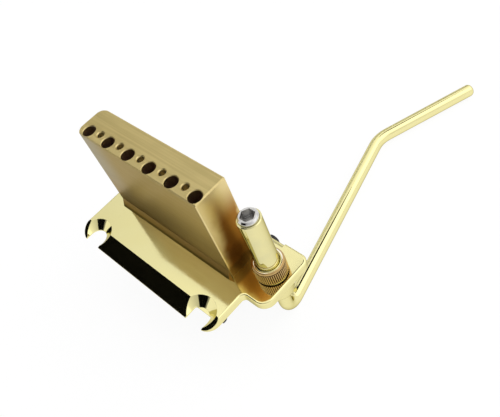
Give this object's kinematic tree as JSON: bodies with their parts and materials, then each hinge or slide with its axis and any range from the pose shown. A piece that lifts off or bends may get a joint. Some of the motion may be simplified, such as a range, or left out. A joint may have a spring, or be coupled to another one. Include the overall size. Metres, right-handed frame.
{
  "type": "guitar tremolo bridge",
  "caption": "Two-point guitar tremolo bridge with knife-edge plate, brass sustain block, sliding saddles and a swinging arm in a knurled socket, shown block up.",
  "frame": {"origin": "middle of the pivot line, where the two knife edges bear on the guitar's studs", "axes": "+X to the treble side, where the arm is; +Y from the knife edges to the rear lip; +Z along the sustain block, away from the strings, so in a guitar +Z points into the body"},
  "size_m": [0.0804, 0.1459, 0.0631],
  "materials": {
    "gold_plate": "polished gold plating on steel",
    "block_brass": "satin machined brass",
    "collar_brass": "antique brass, knurled",
    "steel": "bright nickel-plated steel",
    "dark_steel": "black oxide steel",
    "nylon": "natural nylon"
  },
  "bodies": {
    "base": {"base_plate": "gold_plate", "sustain_block": "block_brass", "block_screws": "steel", "arm_sleeve": "gold_plate", "arm_bush": "nylon", "thrust_pad": "nylon", "intonation_spring_1": "steel", "intonation_spring_2": "steel", "intonation_spring_3": "steel", "intonation_spring_4": "steel", "intonation_spring_5": "steel", "intonation_spring_6": "steel"},
    "arm": {"tremolo_arm": "gold_plate"},
    "collar": {"knurled_collar": "collar_brass"},
    "tension": {"tension_screw": "steel"},
    "saddle_1": {"saddle_1": "dark_steel"},
    "intonation_screw_1": {"intonation_screw_1": "dark_steel"},
    "height_screw_1_bass": {"height_screw_1_bass": "steel"},
    "height_screw_1_treble": {"height_screw_1_treble": "steel"},
    "saddle_2": {"saddle_2": "dark_steel"},
    "intonation_screw_2": {"intonation_screw_2": "dark_steel"},
    "height_screw_2_bass": {"height_screw_2_bass": "steel"},
    "height_screw_2_treble": {"height_screw_2_treble": "steel"},
    "saddle_3": {"saddle_3": "dark_steel"},
    "intonation_screw_3": {"intonation_screw_3": "dark_steel"},
    "height_screw_3_bass": {"height_screw_3_bass": "steel"},
    "height_screw_3_treble": {"height_screw_3_treble": "steel"},
    "saddle_4": {"saddle_4": "dark_steel"},
    "intonation_screw_4": {"intonation_screw_4": "dark_steel"},
    "height_screw_4_bass": {"height_screw_4_bass": "steel"},
    "height_screw_4_treble": {"height_screw_4_treble": "steel"},
    "saddle_5": {"saddle_5": "dark_steel"},
    "intonation_screw_5": {"intonation_screw_5": "dark_steel"},
    "height_screw_5_bass": {"height_screw_5_bass": "steel"},
    "height_screw_5_treble": {"height_screw_5_treble": "steel"},
    "saddle_6": {"saddle_6": "dark_steel"},
    "intonation_screw_6": {"intonation_screw_6": "dark_steel"},
    "height_screw_6_bass": {"height_screw_6_bass": "steel"},
    "height_screw_6_treble": {"height_screw_6_treble": "steel"}
  },
  "joints": [
    {"name": "arm_swing", "type": "hinge", "parent": "base", "child": "arm", "pos_m": [0.0381, 0.0214, 0], "axis": [0, 0, 1], "continuous": true},
    {"name": "collar_turn", "type": "hinge", "parent": "base", "child": "collar", "pos_m": [0.0381, 0.0214, 0], "axis": [0, 0, 1], "continuous": true},
    {"name": "tension_screw_turn", "type": "hinge", "parent": "base", "child": "tension", "pos_m": [0.0381, 0.0214, 0], "axis": [0, 0, 1], "continuous": true},
    {"name": "saddle_1_slide", "type": "slide", "parent": "base", "child": "saddle_1", "axis": [0, 1, 0], "range_m": [-0.003, 0.003], "deforming": ["intonation_spring_1"]},
    {"name": "intonation_screw_1_turn", "type": "hinge", "parent": "base", "child": "intonation_screw_1", "pos_m": [-0.02625, 0.0317, -0.0036], "axis": [0, -1, 0], "range_deg": [-2200, 2200]},
    {"name": "height_screw_1_bass_turn", "type": "hinge", "parent": "saddle_1", "child": "height_screw_1_bass", "pos_m": [-0.02965, 0.0066, -0.0004], "axis": [0, 0, 1], "continuous": true},
    {"name": "height_screw_1_treble_turn", "type": "hinge", "parent": "saddle_1", "child": "height_screw_1_treble", "pos_m": [-0.02285, 0.0066, -0.0004], "axis": [0, 0, 1], "continuous": true},
    {"name": "saddle_2_slide", "type": "slide", "parent": "base", "child": "saddle_2", "axis": [0, 1, 0], "range_m": [-0.003, 0.003], "deforming": ["intonation_spring_2"]},
    {"name": "intonation_screw_2_turn", "type": "hinge", "parent": "base", "child": "intonation_screw_2", "pos_m": [-0.01575, 0.0317, -0.0036], "axis": [0, -1, 0], "range_deg": [-2200, 2200]},
    {"name": "height_screw_2_bass_turn", "type": "hinge", "parent": "saddle_2", "child": "height_screw_2_bass", "pos_m": [-0.01915, 0.0066, -0.0004], "axis": [0, 0, 1], "continuous": true},
    {"name": "height_screw_2_treble_turn", "type": "hinge", "parent": "saddle_2", "child": "height_screw_2_treble", "pos_m": [-0.01235, 0.0066, -0.0004], "axis": [0, 0, 1], "continuous": true},
    {"name": "saddle_3_slide", "type": "slide", "parent": "base", "child": "saddle_3", "axis": [0, 1, 0], "range_m": [-0.003, 0.003], "deforming": ["intonation_spring_3"]},
    {"name": "intonation_screw_3_turn", "type": "hinge", "parent": "base", "child": "intonation_screw_3", "pos_m": [-0.00525, 0.0317, -0.0036], "axis": [0, -1, 0], "range_deg": [-2200, 2200]},
    {"name": "height_screw_3_bass_turn", "type": "hinge", "parent": "saddle_3", "child": "height_screw_3_bass", "pos_m": [-0.00865, 0.0066, -0.0004], "axis": [0, 0, 1], "continuous": true},
    {"name": "height_screw_3_treble_turn", "type": "hinge", "parent": "saddle_3", "child": "height_screw_3_treble", "pos_m": [-0.00185, 0.0066, -0.0004], "axis": [0, 0, 1], "continuous": true},
    {"name": "saddle_4_slide", "type": "slide", "parent": "base", "child": "saddle_4", "axis": [0, 1, 0], "range_m": [-0.003, 0.003], "deforming": ["intonation_spring_4"]},
    {"name": "intonation_screw_4_turn", "type": "hinge", "parent": "base", "child": "intonation_screw_4", "pos_m": [0.00525, 0.0317, -0.0036], "axis": [0, -1, 0], "range_deg": [-2200, 2200]},
    {"name": "height_screw_4_bass_turn", "type": "hinge", "parent": "saddle_4", "child": "height_screw_4_bass", "pos_m": [0.00185, 0.0066, -0.0004], "axis": [0, 0, 1], "continuous": true},
    {"name": "height_screw_4_treble_turn", "type": "hinge", "parent": "saddle_4", "child": "height_screw_4_treble", "pos_m": [0.00865, 0.0066, -0.0004], "axis": [0, 0, 1], "continuous": true},
    {"name": "saddle_5_slide", "type": "slide", "parent": "base", "child": "saddle_5", "axis": [0, 1, 0], "range_m": [-0.003, 0.003], "deforming": ["intonation_spring_5"]},
    {"name": "intonation_screw_5_turn", "type": "hinge", "parent": "base", "child": "intonation_screw_5", "pos_m": [0.01575, 0.0317, -0.0036], "axis": [0, -1, 0], "range_deg": [-2200, 2200]},
    {"name": "height_screw_5_bass_turn", "type": "hinge", "parent": "saddle_5", "child": "height_screw_5_bass", "pos_m": [0.01235, 0.0066, -0.0004], "axis": [0, 0, 1], "continuous": true},
    {"name": "height_screw_5_treble_turn", "type": "hinge", "parent": "saddle_5", "child": "height_screw_5_treble", "pos_m": [0.01915, 0.0066, -0.0004], "axis": [0, 0, 1], "continuous": true},
    {"name": "saddle_6_slide", "type": "slide", "parent": "base", "child": "saddle_6", "axis": [0, 1, 0], "range_m": [-0.003, 0.003], "deforming": ["intonation_spring_6"]},
    {"name": "intonation_screw_6_turn", "type": "hinge", "parent": "base", "child": "intonation_screw_6", "pos_m": [0.02625, 0.0317, -0.0036], "axis": [0, -1, 0], "range_deg": [-2200, 2200]},
    {"name": "height_screw_6_bass_turn", "type": "hinge", "parent": "saddle_6", "child": "height_screw_6_bass", "pos_m": [0.02285, 0.0066, -0.0004], "axis": [0, 0, 1], "continuous": true},
    {"name": "height_screw_6_treble_turn", "type": "hinge", "parent": "saddle_6", "child": "height_screw_6_treble", "pos_m": [0.02965, 0.0066, -0.0004], "axis": [0, 0, 1], "continuous": true}
  ],
  "couplings": [
    {"joint": "intonation_screw_1_turn", "follows": "saddle_1_slide", "rad_per_m": 12566},
    {"joint": "intonation_screw_2_turn", "follows": "saddle_2_slide", "rad_per_m": 12566},
    {"joint": "intonation_screw_3_turn", "follows": "saddle_3_slide", "rad_per_m": 12566},
    {"joint": "intonation_screw_4_turn", "follows": "saddle_4_slide", "rad_per_m": 12566},
    {"joint": "intonation_screw_5_turn", "follows": "saddle_5_slide", "rad_per_m": 12566},
    {"joint": "intonation_screw_6_turn", "follows": "saddle_6_slide", "rad_per_m": 12566}
  ]
}
